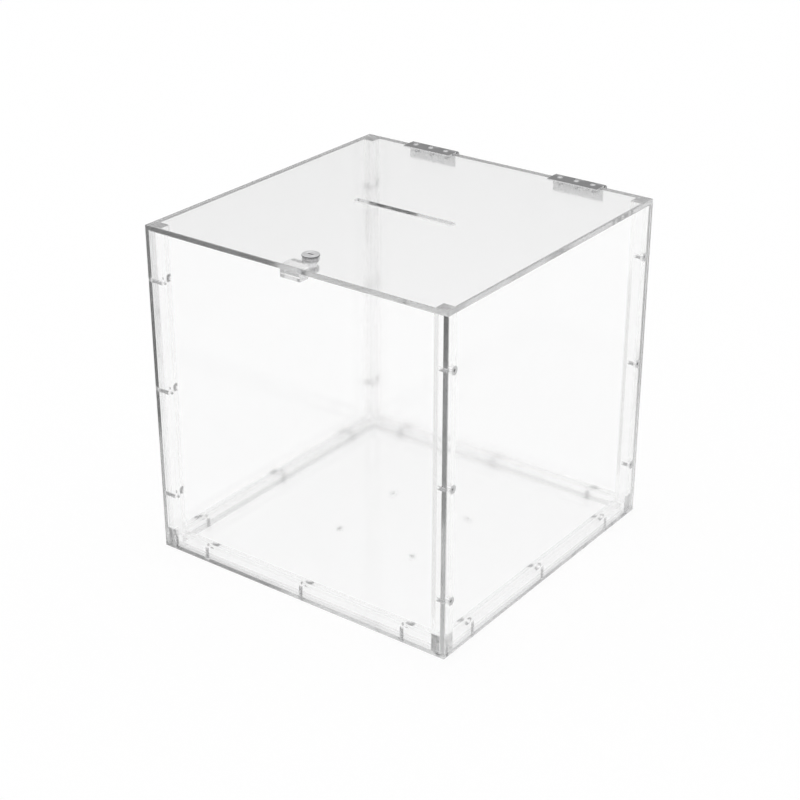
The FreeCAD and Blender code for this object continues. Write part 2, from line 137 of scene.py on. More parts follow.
def build_handling_marks():
    """Group: hairline scratches and soft smudges, as a roughness and a height."""
    group = bpy.data.node_groups.new("handling_marks", "ShaderNodeTree")
    sockets = group.interface
    for name in ("Scale", "Base Roughness", "Smudge", "Hairline"):
        sockets.new_socket(name, in_out="INPUT", socket_type="NodeSocketFloat")
    for name in ("Roughness", "Height"):
        sockets.new_socket(name, in_out="OUTPUT", socket_type="NodeSocketFloat")
    inside = add_node(group, "NodeGroupInput")
    outside = add_node(group, "NodeGroupOutput")
    place = add_node(group, "ShaderNodeTexCoord")
    link = group.links.new

    smudge = add_node(group, "ShaderNodeTexNoise", Detail=4.0, Roughness=0.6, Distortion=0.4)
    link(place.outputs["Object"], smudge.inputs["Vector"])
    link(inside.outputs["Scale"], smudge.inputs["Scale"])
    patch = add_node(group, "ShaderNodeMapRange", interpolation_type="SMOOTHSTEP")
    patch.inputs["From Min"].default_value, patch.inputs["From Max"].default_value = SMUDGE_RANGE
    link(smudge.outputs["Fac"], patch.inputs["Value"])

    stretch = add_node(group, "ShaderNodeMapping", Scale=HAIR_STRETCH, Rotation=HAIR_TURN)
    link(place.outputs["Object"], stretch.inputs["Vector"])
    hair = add_node(group, "ShaderNodeTexNoise", Scale=9.0, Detail=2.0, Roughness=0.5)
    link(stretch.outputs["Vector"], hair.inputs["Vector"])
    line = add_node(group, "ShaderNodeMapRange", interpolation_type="SMOOTHSTEP")
    line.inputs["From Min"].default_value, line.inputs["From Max"].default_value = HAIR_RANGE
    link(hair.outputs["Fac"], line.inputs["Value"])

    smudged = add_node(group, "ShaderNodeMath", operation="MULTIPLY_ADD")
    link(patch.outputs["Result"], smudged.inputs[0])
    link(inside.outputs["Smudge"], smudged.inputs[1])
    link(inside.outputs["Base Roughness"], smudged.inputs[2])
    scratched = add_node(group, "ShaderNodeMath", operation="MULTIPLY_ADD")
    link(line.outputs["Result"], scratched.inputs[0])
    link(inside.outputs["Hairline"], scratched.inputs[1])
    link(smudged.outputs["Value"], scratched.inputs[2])
    link(scratched.outputs["Value"], outside.inputs["Roughness"])
    link(line.outputs["Result"], outside.inputs["Height"])
    return group


HANDLING_MARKS = build_handling_marks()
print("shared group:", HANDLING_MARKS.name)

# %% [markdown]
# ## Marks in a material
# Each finish places the group once and gives it its own numbers: how large the smudges are, how polished the
# clean surface is, and how much smudges and hairlines dull it. A Bump node turns the hairlines into relief.

# %% Helper that places the marks


def place_marks(tree, shader, scale, roughness, smudge, hairline, bump, depth):
    """Give a shader its roughness and relief from the handling marks."""
    marks = add_node(tree, "ShaderNodeGroup", node_tree=HANDLING_MARKS)
    values = {"Scale": scale, "Base Roughness": roughness, "Smudge": smudge, "Hairline": hairline}
    for socket, value in values.items():
        marks.inputs[socket].default_value = value
    relief = add_node(tree, "ShaderNodeBump", Strength=bump, Distance=depth)
    tree.links.new(marks.outputs["Height"], relief.inputs["Height"])
    tree.links.new(marks.outputs["Roughness"], shader.inputs["Roughness"])
    tree.links.new(relief.outputs["Normal"], shader.inputs["Normal"])


mark_inputs = [item.name for item in HANDLING_MARKS.interface.items_tree if item.in_out == "INPUT"]
print("values that each finish gives:", mark_inputs)

# %% [markdown]
# ## Clear acrylic
# Acrylic bends light a little less than window glass. Wiping has left the broad faces slightly hazy, so what
# stands far behind a sheet looks softer than what is near it. The cut edges were milled and polished and keep
# finer marks, and the bars inside are as clear as they were extruded. Light that falls through a sheet still
# reaches the floor, so the rays that only carry light pass straight through.

# %% Acrylic materials
ACRYLIC_IOR = 1.49
PLASTIC_MARK_DEPTH = 0.1 * MM


def clear_plastic(name, tint, shadow_tint, **marks):
    """A clear plastic surface with handling marks; rays that only carry light go straight through it."""
    material, tree, output = new_material(name)
    link = tree.links.new
    plastic = add_node(tree, "ShaderNodeBsdfPrincipled", Base_Color=(*tint, 1.0), IOR=ACRYLIC_IOR)
    plastic.inputs["Transmission Weight"].default_value = 1.0
    place_marks(tree, plastic, depth=PLASTIC_MARK_DEPTH, **marks)
    passing = add_node(tree, "ShaderNodeBsdfTransparent", Color=(*shadow_tint, 1.0))
    ray = add_node(tree, "ShaderNodeLightPath")
    lighting = add_node(tree, "ShaderNodeMath", operation="MAXIMUM")
    link(ray.outputs["Is Shadow Ray"], lighting.inputs[0])
    link(ray.outputs["Is Diffuse Ray"], lighting.inputs[1])
    choose = add_node(tree, "ShaderNodeMixShader")
    link(lighting.outputs["Value"], choose.inputs[0])
    link(plastic.outputs["BSDF"], choose.inputs[1])
    link(passing.outputs["BSDF"], choose.inputs[2])
    link(choose.outputs["Shader"], output.inputs["Surface"])
    return material


ACRYLIC_FACE = clear_plastic(
    "acrylic_face", tint=(0.99, 0.99, 0.99), shadow_tint=(0.997, 0.997, 0.997),
    scale=18.0, roughness=0.075, smudge=0.01, hairline=0.02, bump=0.01)
ACRYLIC_EDGE = clear_plastic(
    "acrylic_edge", tint=(0.97, 0.975, 0.975), shadow_tint=(0.99, 0.99, 0.99),
    scale=60.0, roughness=0.07, smudge=0.05, hairline=0.08, bump=0.08)
ACRYLIC_BAR = clear_plastic(
    "acrylic_bar", tint=(0.99, 0.99, 0.99), shadow_tint=(0.997, 0.997, 0.997),
    scale=18.0, roughness=0.008, smudge=0.004, hairline=0.01, bump=0.005)
print("acrylic finishes:", ACRYLIC_FACE.name, ACRYLIC_EDGE.name, ACRYLIC_BAR.name)

# %% [markdown]
# ## Metal
# All the fittings are bare or plated metal with the same kind of marks. A soft noise blends a clean tint with
# a worn one, so one function takes the two tints and the polish.

# %% Helper for metal
METAL_MARK_DEPTH = 0.05 * MM
CLOUDS_TO_SMUDGES = 2.5


def plated_metal(name, tint, worn_tint, scale, **marks):
    """A metal finish whose tint and polish vary with the handling marks."""
    material, tree, output = new_material(name)
    link = tree.links.new
    cloud = add_node(tree, "ShaderNodeTexNoise", Scale=scale * CLOUDS_TO_SMUDGES, Detail=3.0)
    place = add_node(tree, "ShaderNodeTexCoord")
    link(place.outputs["Object"], cloud.inputs["Vector"])
    tone = add_node(tree, "ShaderNodeMix", data_type="RGBA")
    tone.inputs["A"].default_value = (*tint, 1.0)
    tone.inputs["B"].default_value = (*worn_tint, 1.0)
    link(cloud.outputs["Fac"], tone.inputs["Factor"])
    metal = add_node(tree, "ShaderNodeBsdfPrincipled", Metallic=1.0)
    link(tone.outputs["Result"], metal.inputs["Base Color"])
    place_marks(tree, metal, scale=scale, depth=METAL_MARK_DEPTH, **marks)
    link(metal.outputs["BSDF"], output.inputs["Surface"])
    return material


print("metal helper:", plated_metal.__name__)

# %% [markdown]
# ## Hinge and screw finishes
# The hinges are steel in two copies: a darkened one on the outside, a painted dark reflection, and a brighter
# satin one elsewhere, a painted highlight. The screws are zinc plated, and their rolled threads are rougher
# than their heads.

# %% Metals of hinges and screws
# Both hinge tints are painted light: the dark one is a painted dark reflection, the bright satin one a
# painted highlight.
HINGE_STEEL_PAINTED_DARK = plated_metal(
    "hinge_steel", tint=(0.34, 0.34, 0.34), worn_tint=(0.26, 0.26, 0.27),
    scale=160.0, roughness=0.1, smudge=0.1, hairline=0.12, bump=0.1)
HINGE_SATIN_PAINTED_BRIGHT = plated_metal(
    "hinge_satin_painted_bright", tint=(0.8, 0.8, 0.8), worn_tint=(0.7, 0.7, 0.71),
    scale=160.0, roughness=0.25, smudge=0.1, hairline=0.12, bump=0.1)
SCREW_STEEL = plated_metal(
    "screw_steel", tint=(0.6, 0.6, 0.6), worn_tint=(0.48, 0.48, 0.49),
    scale=300.0, roughness=0.16, smudge=0.12, hairline=0.1, bump=0.1)
SCREW_THREAD = plated_metal(
    "screw_thread", tint=(0.66, 0.66, 0.66), worn_tint=(0.55, 0.55, 0.56),
    scale=300.0, roughness=0.26, smudge=0.12, hairline=0.1, bump=0.1)
print("steel finishes:", [metal.name for metal in (HINGE_STEEL_PAINTED_DARK, HINGE_SATIN_PAINTED_BRIGHT, SCREW_STEEL, SCREW_THREAD)])

# %% [markdown]
# ## Lock finishes
# The lock is chromed, with its rim in a dark metal that is a painted dark reflection, on a zinc plated nut
# and cam. Its keyway walls are painted dark as painted shade.

# %% Metals of the lock
LOCK_CHROME = plated_metal(
    "lock_chrome", tint=(0.93, 0.93, 0.94), worn_tint=(0.85, 0.85, 0.86),
    scale=200.0, roughness=0.02, smudge=0.04, hairline=0.05, bump=0.05)
LOCK_STEEL = plated_metal(
    "lock_steel", tint=(0.52, 0.52, 0.52), worn_tint=(0.4, 0.4, 0.41),
    scale=240.0, roughness=0.22, smudge=0.12, hairline=0.1, bump=0.1)
# The rim's dark tint is painted light: a painted dark reflection on the flange's side.
LOCK_RIM_PAINTED_REFLECTION = plated_metal(
    "lock_rim_painted_reflection", tint=(0.2, 0.2, 0.2), worn_tint=(0.14, 0.14, 0.15),
    scale=200.0, roughness=0.08, smudge=0.06, hairline=0.05, bump=0.05)
# The keyway's near-black metal is painted shade, standing in for the shade inside the slot.
KEYWAY_PAINTED_SHADE = plated_metal(
    "keyway_painted_shade", tint=(0.07, 0.07, 0.07), worn_tint=(0.03, 0.03, 0.03),
    scale=400.0, roughness=0.45, smudge=0.2, hairline=0.1, bump=0.1)
print("lock finishes:", [metal.name for metal in (LOCK_CHROME, LOCK_STEEL, LOCK_RIM_PAINTED_REFLECTION, KEYWAY_PAINTED_SHADE)])

# %% [markdown]
# ## Taking a piece from its solid
# A CAD solid arrives as loose triangles with knife-sharp edges. A copy of it is merged, its sharp edges are
# bevelled as a polisher would break them, and round walls are shaded smooth. The copy then stands for the
# node. Clear pieces that lie against each other get a hair of air between them, because dry-fitted sheets
# have one, and light needs it to glint along a seam.

# %% Helpers for pieces
SHARP_ANGLE = math.radians(30.0)
MERGE_DISTANCE = 1e-6
BREAK_SEGMENTS = 2


def solid_mesh(node):
    """A merged copy of a node's solid."""
    mesh = bmesh.new()
    mesh.from_mesh(frame["nodes"][node].data)
    bmesh.ops.remove_doubles(mesh, verts=mesh.verts, dist=MERGE_DISTANCE)
    return mesh


def break_edges(mesh, width):
    """Bevel every sharp edge by a small width."""
    sharp = [edge for edge in mesh.edges if edge.is_manifold and edge.calc_face_angle() > SHARP_ANGLE]
    bmesh.ops.bevel(
        mesh, geom=sharp, offset=width, offset_type="OFFSET", affect="EDGES", segments=BREAK_SEGMENTS,
        profile=0.5, material=-1, clamp_overlap=True)


def finish_piece(mesh, name, body, materials, nodes, smooth=True):
    """Make the mesh an object that rides on a body and stands for its nodes."""
    data = bpy.data.meshes.new(name)
    mesh.to_mesh(data)
    mesh.free()
    for polygon in data.polygons:
        polygon.use_smooth = smooth
    piece = bpy.data.objects.new(name, data)
    for material in materials:
        data.materials.append(material)
    scene.collection.objects.link(piece)
    if smooth:
        data.set_sharp_from_angle(angle=SHARP_ANGLE)
        even = piece.modifiers.new("even_shading", "WEIGHTED_NORMAL")
        even.keep_sharp = True
    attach(piece, body)
    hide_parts(*nodes)
    return piece


print("edges are sharp from degrees:", round(math.degrees(SHARP_ANGLE)))

# %% [markdown]
# ## Bodies, slots and joints
# The record that comes with the solids says which body each node rides on, such as the lid, which material
# slot it has, and where the joints are. Small tables keep that at hand, so that no piece gets a wrong one.

# %% Tables from the record
BODIES = frame["record"]["behaviour"]["bodies"]
BODY_OF = {node: body for body, nodes in BODIES.items() for node in nodes}
SLOT_OF = {part["node"]: part["material_slot"] for part in frame["record"]["subparts"]}
JOINT_PLACE = {joint["name"]: Vector(joint["pos_m"]) for joint in frame["record"]["behaviour"]["joints"]}
print("bodies:", sorted(BODIES), "joints:", sorted(JOINT_PLACE))

# %% [markdown]
# ## Sheets, posts and cleats
# Each clear piece keeps its solid's outline and holes. On a sheet, the faces that look along its thinnest
# side are the broad ones, and all others are cut edges with their own finish. The square bars are extruded,
# so they are clear all round, with softer corners.

# %% Clear pieces
AIR_GAP = 0.04 * MM
EDGE_BREAK = 0.2 * MM
BAR_BREAK = 0.25 * MM
SHEET_SHARE = 0.5
BROAD_FACE = 0.99
CLEAR_NODES = [node for node, slot in SLOT_OF.items() if slot == "clear_acrylic"]


def clear_piece(node):
    """One acrylic sheet or bar, a hair smaller than its solid, with broken edges."""
    low, high = (Vector(corner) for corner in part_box(node))
    size = high - low
    middle = (low + high) / 2
    mesh = solid_mesh(node)
    thin = min(range(3), key=lambda axis: size[axis])
    is_sheet = sorted(size)[1] > SHEET_SHARE * max(size) > min(size)
    break_edges(mesh, EDGE_BREAK if is_sheet else BAR_BREAK)
    shrink = [(side - 2 * AIR_GAP) / side for side in size]
    to_middle = Matrix.Translation(-middle)
    bmesh.ops.scale(mesh, vec=shrink, space=to_middle, verts=mesh.verts)
    mesh.normal_update()
    for face in mesh.faces:
        cut = is_sheet and abs(face.normal[thin]) < BROAD_FACE
        face.material_index = 1 if cut else 0
    finishes = [ACRYLIC_FACE, ACRYLIC_EDGE] if is_sheet else [ACRYLIC_BAR]
    return finish_piece(
        mesh, f"{node}_sheet", BODY_OF[node], finishes, [node], smooth=False)


clear_pieces = [clear_piece(node) for node in CLEAR_NODES]
print("clear pieces:", len(clear_pieces))

# %% [markdown]
# ## Pins, nut and cam
# The hinge pins, the nut and the cam are small turned or stamped pieces, and their solids already have the
# true shape. They only need their edges eased, as tumbling does, and their metal.

# %% Plain metal pieces
METAL_BREAK = 0.12 * MM
METAL_OF = {
    # The hinge pins take the darkened hinge steel, a painted dark reflection.
    "hinge_pin_left": HINGE_STEEL_PAINTED_DARK, "hinge_pin_right": HINGE_STEEL_PAINTED_DARK,
    "lock_nut": LOCK_STEEL, "lock_cam": LOCK_STEEL,
}


def metal_piece(node):
    """One metal fitting with eased edges."""
    mesh = solid_mesh(node)
    break_edges(mesh, METAL_BREAK)
    return finish_piece(mesh, f"{node}_piece", BODY_OF[node], [METAL_OF[node]], [node])


metal_pieces = [metal_piece(node) for node in METAL_OF]
print("plain metal pieces:", len(metal_pieces))

# %% [markdown]
# ## Hinge leaves
# A hinge leaf is stamped from sheet steel. Its outside takes a darkened copy of the steel, a painted dark
# reflection, and its sheared edges and the side against the plastic take a brighter satin copy, a painted
# highlight. The knuckles roll the outside round the pin, so faces near the hinge's axis take the dark copy
# too, and the way a face points decides the others.

# %% Leaves of the hinges
OUTSIDE_OF = {
    "hinge_back_leaf_left": Vector((0, 1, 0)), "hinge_back_leaf_right": Vector((0, 1, 0)),
    "hinge_lid_leaf_left": Vector((0, 0, 1)), "hinge_lid_leaf_right": Vector((0, 0, 1)),
}
PIN_PLACE = JOINT_PLACE["lid_hinge"]
KNUCKLE_REACH = 2.4 * MM
OUTSIDE_FACING = 0.9


def hinge_leaf(node):
    """One leaf, painted dark outside and on its knuckles, painted bright and satin on its edges and inside.
    """
    mesh = solid_mesh(node)
    break_edges(mesh, METAL_BREAK)
    mesh.normal_update()
    # Outside faces and knuckles take the dark copy, a painted dark reflection; the rest take the bright copy,
    # a painted highlight.
    for face in mesh.faces:
        spot = face.calc_center_median() - PIN_PLACE
        rolled = math.hypot(spot.y, spot.z) < KNUCKLE_REACH
        dark_painted_face = rolled or face.normal.dot(OUTSIDE_OF[node]) > OUTSIDE_FACING
        face.material_index = 0 if dark_painted_face else 1
    return finish_piece(
        mesh, f"{node}_piece", BODY_OF[node], [HINGE_STEEL_PAINTED_DARK, HINGE_SATIN_PAINTED_BRIGHT], [node])


leaves = [hinge_leaf(node) for node in OUTSIDE_OF]
print("hinge leaves:", len(leaves))

# %% [markdown]
# ## Plug with its keyway
# The plug's chromed face has a slot for the key. No light gets into that slot, so the faces inside it take a
# dark metal of their own, which is painted shade.

# %% Lock plug
KEYWAY_REACH = 2.9 * MM
KEYWAY_DEPTH = 4.2 * MM


def lock_plug():
    """The turning plug, with painted shade on the walls of its keyway."""
    low, high = (Vector(corner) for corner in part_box("lock_plug"))
    middle = (low + high) / 2
    mesh = solid_mesh("lock_plug")
    break_edges(mesh, METAL_BREAK)
    for face in mesh.faces:
        spot = face.calc_center_median()
        near_axis = math.hypot(spot.x - middle.x, spot.y - middle.y) < KEYWAY_REACH
        below_face = high.z - KEYWAY_DEPTH < spot.z < high.z - METAL_BREAK
        face.material_index = 1 if near_axis and below_face else 0
    return finish_piece(
        mesh, "lock_plug_piece", BODY_OF["lock_plug"], [LOCK_CHROME, KEYWAY_PAINTED_SHADE],
        ["lock_plug"])


print("plug faces:", len(lock_plug().data.polygons))

# %% [markdown]
# ## Turning and threading
# Screws and the lock's barrel are turned, then threaded. A lathe is a spin of a profile about its axis. A
# thread is a small triangle spun along the axis at the same time, which gives a real helix.

# %% Helpers for turned pieces
RIDGE_MIDDLE = 0.45
RIDGE_WIDTH = 0.9


def turned(profile, steps):
    """Spin a profile of (radius, height) points about the Z axis."""
    mesh = bmesh.new()
    points = [mesh.verts.new((radius, 0.0, height)) for radius, height in profile]
    lines = [mesh.edges.new(pair) for pair in zip(points, points[1:])]
    bmesh.ops.spin(
        mesh, geom=points + lines, cent=(0, 0, 0), axis=(0, 0, 1), dvec=(0, 0, 0), angle=math.tau,
        steps=steps, use_merge=True)
    bmesh.ops.remove_doubles(mesh, verts=mesh.verts, dist=MERGE_DISTANCE)
    bmesh.ops.recalc_face_normals(mesh, faces=mesh.faces)
    return mesh


def add_thread(mesh, core, crest, start, pitch, turns, steps):
    """Wind a triangular ridge round a turned core, rising from start."""
    triangle = ((core, 0.0), (crest, RIDGE_MIDDLE * pitch), (core, RIDGE_WIDTH * pitch))
    points = [mesh.verts.new((radius, 0.0, start + rise)) for radius, rise in triangle]
    lines = [mesh.edges.new((points[k], points[k - 1])) for k in range(3)]
    before = set(mesh.faces)
    bmesh.ops.spin(
        mesh, geom=points + lines, cent=(0, 0, 0), axis=(0, 0, 1), dvec=(0, 0, pitch / steps),
        angle=math.tau * turns, steps=round(steps * turns))
    ridge = [face for face in mesh.faces if face not in before]
    ends = bmesh.ops.holes_fill(
        mesh, edges=[edge for face in ridge for edge in face.edges if edge.is_boundary], sides=3)["faces"]
    bmesh.ops.recalc_face_normals(mesh, faces=ridge + ends)


print("thread ridge in pitches:", RIDGE_WIDTH)

# %% [markdown]
# ## Cross recess
# Each screw head has a cross recess for the driver. A punch forms it on the real screw, so here a tapered
# cross is taken out of the head with a Boolean, once per kind of screw.

# %% Helper that carves a recess
BLADE_TAPER = (0.45, 0.8, 1.0)


def cross_punch(reach, width, depth):
    """Two crossed blades that narrow towards their tip, with the tip at minus depth."""
    punch = bmesh.new()
    for turn in (0.0, math.pi / 2):
        blade = bmesh.ops.create_cube(punch, size=1.0)["verts"]
        bmesh.ops.scale(punch, vec=(2 * reach, width, 2 * depth), verts=blade)
        tip = [vert for vert in blade if vert.co.z < 0]
        bmesh.ops.scale(punch, vec=BLADE_TAPER, verts=tip)
        bmesh.ops.rotate(punch, cent=(0, 0, 0), matrix=Matrix.Rotation(turn, 3, "Z"), verts=blade)
    return punch


def carve(mesh, punch):
    """Take a punch out of a mesh, and return the carved mesh."""
    objects = []
    for shape, name in ((mesh, "blank"), (punch, "punch")):
        data = bpy.data.meshes.new(name)
        shape.to_mesh(data)
        shape.free()
        objects.append(bpy.data.objects.new(name, data))
        scene.collection.objects.link(objects[-1])
    blank, tool = objects
    cut = blank.modifiers.new("cut", "BOOLEAN")
    cut.object = tool
    cut.operation = "DIFFERENCE"
    cut.solver = "EXACT"
    cut.use_self = True
    carved = bmesh.new()
    carved.from_object(blank, bpy.context.evaluated_depsgraph_get())
    for thing in objects:
        data = thing.data
        bpy.data.objects.remove(thing)
        bpy.data.meshes.remove(data)
    return carved


print("recess blades narrow to:", BLADE_TAPER)

# %% [markdown]
# ## Finding each screw
# A screw group in the CAD is one node with several loose solids. Walking over joined vertices splits them,
# and each one's box gives its place and its length. A screw is round, so the odd side of its box is its axis.

# %% Helpers that find screws
PLACE_DIGITS = 4


def loose_boxes(node):
    """The box of each separate solid in a node."""
    mesh = solid_mesh(node)
    left = set(mesh.verts)
    boxes = []
    while left:
        island = [left.pop()]
        for vert in island:
            near = {edge.other_vert(vert) for edge in vert.link_edges} & left
            left -= near
            island.extend(near)
        spots = [vert.co for vert in island]
        low = Vector([min(spot[axis] for spot in spots) for axis in range(3)])
        high = Vector([max(spot[axis] for spot in spots) for axis in range(3)])
        boxes.append((low, high))
    mesh.free()
    return sorted(boxes, key=lambda box: tuple(round(value, PLACE_DIGITS) for value in box[0]))


def axis_of(box):
    """The axis of a screw: the one whose size differs most from the other two."""
    size = box[1] - box[0]
    odd = [abs(2 * size[k] - size[k - 1] - size[k - 2]) for k in range(3)]
    return odd.index(max(odd))


print("screws in the left wall:", len(loose_boxes("left_wall_screws")))

# %% [markdown]
# ## Placing the screws
# One screw of each kind is modelled upright and copied to every place that was found. Its head points away
# from the middle of the donation box. Each copy is turned to another angle, as screws stop where they grip.

# %% Helper that places screws
BOX_MIDDLE = sum((Vector(corner) for corner in cad_box), Vector()) / 2
GOLDEN_TURN = 2.4


def place_screws(node, master):
    """One piece with a copy of the master screw at each solid of a node. The master's head is at height 0."""
    group = bmesh.new()
    for count, (low, high) in enumerate(loose_boxes(node)):
        axis = axis_of((low, high))
        top = (low + high) / 2
        outward = Vector((0, 0, 0))
        outward[axis] = 1.0 if top[axis] > BOX_MIDDLE[axis] else -1.0
        top[axis] = high[axis] if outward[axis] > 0 else low[axis]
        turn = Vector((0, 0, 1)).rotation_difference(outward).to_matrix().to_4x4()
        spin = Matrix.Rotation(GOLDEN_TURN * count, 4, "Z")
        copy = master.copy()
        copy.transform(Matrix.Translation(top) @ turn @ spin)
        data = bpy.data.meshes.new("screw")
        copy.to_mesh(data)
        copy.free()
        group.from_mesh(data)
        bpy.data.meshes.remove(data)
    return finish_piece(
        group, f"{node}_piece", BODY_OF[node], [SCREW_STEEL, SCREW_THREAD], [node])


print("middle of the box in m:", [round(value, 4) for value in BOX_MIDDLE])

# %% [markdown]
# ## Wall and base screws
# The sheets are held to the posts and cleats by small countersunk screws. Their threads show through the
# clear bars, so they are wound as real threads, with their root sunk a little into the core. In the names
# below, FREE is the length that stays without a thread.

# %% Countersunk screws
SCREW_SIDES = 28
HEAD_EASE = (0.1 * MM, 0.12 * MM)
HEAD_RIM = 0.25 * MM
NECK = 0.3 * MM
POINT = 1.6 * MM
CORE_SHARE = 0.74
ROOT_SHARE = 0.95
SHEET_RECESS = (0.58, 0.2, 0.5)
SHEET_PITCH = 1.2 * MM
SHEET_THREAD_START = 1.2 * MM
SHEET_THREAD_FREE = 2.2 * MM
SHEET_THREAD_STEPS = 16


def countersunk_screw(node):
    """A countersunk screw as long and wide as those in the node, head up at height 0."""
    low, high = loose_boxes(node)[0]
    size = high - low
    length = max(size)
    head = min(size) / 2
    shank = head / 2
    core = CORE_SHARE * shank
    ease_in, ease_down = HEAD_EASE
    screw = turned([
        (0.0, 0.0), (head - ease_in, 0.0), (head, -ease_down), (head, -HEAD_RIM),
        (shank, -head + shank), (shank, -head), (core, -head - NECK),
        (core, -length + POINT), (0.0, -length)], SCREW_SIDES)
    screw = carve(screw, cross_punch(*(share * head for share in SHEET_RECESS)))
    turns = (length - head - SHEET_THREAD_FREE) / SHEET_PITCH
    start = -length + SHEET_THREAD_START
    add_thread(screw, ROOT_SHARE * core, shank, start, SHEET_PITCH, turns, SHEET_THREAD_STEPS)
    for face in screw.faces:
        face.material_index = 1 if face.calc_center_median().z < shank - head else 0
    return screw


SHEET_SCREW_NODES = ("left_wall_screws", "right_wall_screws", "base_screws")
sheet_screw = countersunk_screw("left_wall_screws")
sheet_screws = [place_screws(node, sheet_screw) for node in SHEET_SCREW_NODES]
print("countersunk screw pieces:", len(sheet_screws), "faces each screw:", len(sheet_screw.faces))

# %% [markdown]
# ## Hinge and cam screws
# The hinges are held by short screws with domed heads, and a similar one holds the cam. The dome is a quarter
# of an ellipse, turned on the same lathe, and the short shanks stay plain.

# %% Domed screws
DOME_RISE = 0.56
DOME_STEPS = 6
DOME_TURNS = [step * math.pi / (2 * DOME_STEPS) for step in range(DOME_STEPS + 1)]
DOME_RECESS = (0.55, 0.2, 0.55)


def domed_screw(node):
    """A domed screw as long and wide as those in the node, dome up at height 0."""
    low, high = loose_boxes(node)[0]
    axis = axis_of((low, high))
    size = high - low
    length = size[axis]
    head = size[axis - 1] / 2
    rise = DOME_RISE * head
    dome = [(head * math.sin(turn), -rise * (1 - math.cos(turn))) for turn in DOME_TURNS]
    screw = turned(dome + [(head / 2, -rise), (head / 2, -length), (0.0, -length)], SCREW_SIDES)
    reach, width, depth = DOME_RECESS
    return carve(screw, cross_punch(reach * head, width * head, depth * rise))


for node in ("hinge_back_screws", "hinge_lid_screws", "cam_screw"):
    place_screws(node, domed_screw(node))
    print("domed screws:", node)

# %% [markdown]
# ## Lock shell
# The lock's shell is a chromed flange on the lid with a threaded barrel below it, bored for the plug. It is
# turned in one profile and threaded up to the flange. The flange's rim gets a dark metal as a painted dark
# reflection.

# %% Turned lock shell
SHELL_SIDES = 64
SHELL_BORE = 3.55 * MM
SHELL_CORE = 4.5 * MM
SHELL_CREST = 5.0 * MM
SHELL_RIM = 0.4 * MM
RIM_ROUNDING = 0.3
PLUG_CLEARANCE = 0.05 * MM
SEAT_DEPTH = 1.25 * MM
SHELL_PITCH = 1.0 * MM
SHELL_ROOT_SHARE = 0.97
SHELL_THREAD_START = 0.2 * MM
SHELL_THREAD_FREE = 1.6 * MM
SHELL_THREAD_STEPS = 32


def lock_shell():
    """The lock's flange and threaded barrel."""
    low, high = (Vector(corner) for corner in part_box("lock_body"))
    plug_low, plug_high = (Vector(corner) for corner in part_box("lock_plug"))
    lid_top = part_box("lid_panel")[1][2]
    flange = (high.x - low.x) / 2
    seat = (plug_high.x - plug_low.x) / 2 + PLUG_CLEARANCE
    step = plug_high.z - SEAT_DEPTH
    ease, rim = METAL_BREAK, SHELL_RIM
    rounding = RIM_ROUNDING * rim
    shell = turned([
        (SHELL_BORE, low.z), (SHELL_CORE, low.z), (SHELL_CORE, lid_top), (flange - ease, lid_top),
        (flange, lid_top + ease), (flange, high.z - rim), (flange - rounding, high.z - rounding),
        (flange - rim, high.z), (seat + ease, high.z), (seat, high.z - ease), (seat, step),
        (SHELL_BORE, step), (SHELL_BORE, low.z)], SHELL_SIDES)
    root, start = SHELL_ROOT_SHARE * SHELL_CORE, low.z + SHELL_THREAD_START
    turns = (lid_top - low.z - SHELL_THREAD_FREE) / SHELL_PITCH
    add_thread(shell, root, SHELL_CREST, start, SHELL_PITCH, turns, SHELL_THREAD_STEPS)
    middle = (low + high) / 2
    bmesh.ops.translate(shell, vec=(middle.x, middle.y, 0.0), verts=shell.verts)
    # The rim faces take the dark metal, a painted dark reflection.
    for face in shell.faces:
        spot = face.calc_center_median() - middle
        on_rim = math.hypot(spot.x, spot.y) > flange - rim / 2
        face.material_index = 1 if on_rim else 0
    return finish_piece(
        shell, "lock_body_piece", BODY_OF["lock_body"], [LOCK_CHROME, LOCK_RIM_PAINTED_REFLECTION],
        ["lock_body"])


print("lock shell faces:", len(lock_shell().data.polygons))

# %% [markdown]
# ## Rays that have come a long way
# Clear plastic is photographed on white, and what comes straight through it is white. Its cut edges read grey
# because light that has been reflected many times inside a sheet leaves it towards a darker part of the room.
# Ray Depth counts how often a ray has been bent or reflected, so a limit on it picks those rays out.

# %% Helper for deep rays
DEEP_AFTER = 12.5


def deeper_than(tree, ray, limit):
    """A mask that is 1 for rays that have been reflected and bent more often than the limit."""
    deep = add_node(tree, "ShaderNodeMath", operation="GREATER_THAN")
    deep.inputs[1].default_value = limit
    tree.links.new(ray.outputs["Ray Depth"], deep.inputs[0])
    return deep.outputs["Value"]


print("deep rays have more bounces than", DEEP_AFTER)

# %% [markdown]
# ## Cards on the floor
# Photographers lay dark and grey cards round clear and shiny things, just out of sight, so that edges and
# chrome get something to show. A card here is a patch of the floor with another tone, seen only by some
# rays: two behind the box for deep rays, one at the right for rays turned round inside a post, and one in
# front for mirrors.

# %% Helper for cards
BACK_CARD = {"X": (-0.3, 0.4, 0.5), "Y": (0.5, 0.335, 0.345)}
FAR_CARD = {"X": (0.4, 0.3, 0.35), "Y": (0.7, 0.22, 0.26)}
RIGHT_CARD = {"X": (0.6, 0.42, 0.44), "Y": (0.1, 0.5, 0.6)}
FRONT_CARD = {"X": (0.75, 0.4, 0.55), "Y": (-0.6, 0.45, 0.6)}


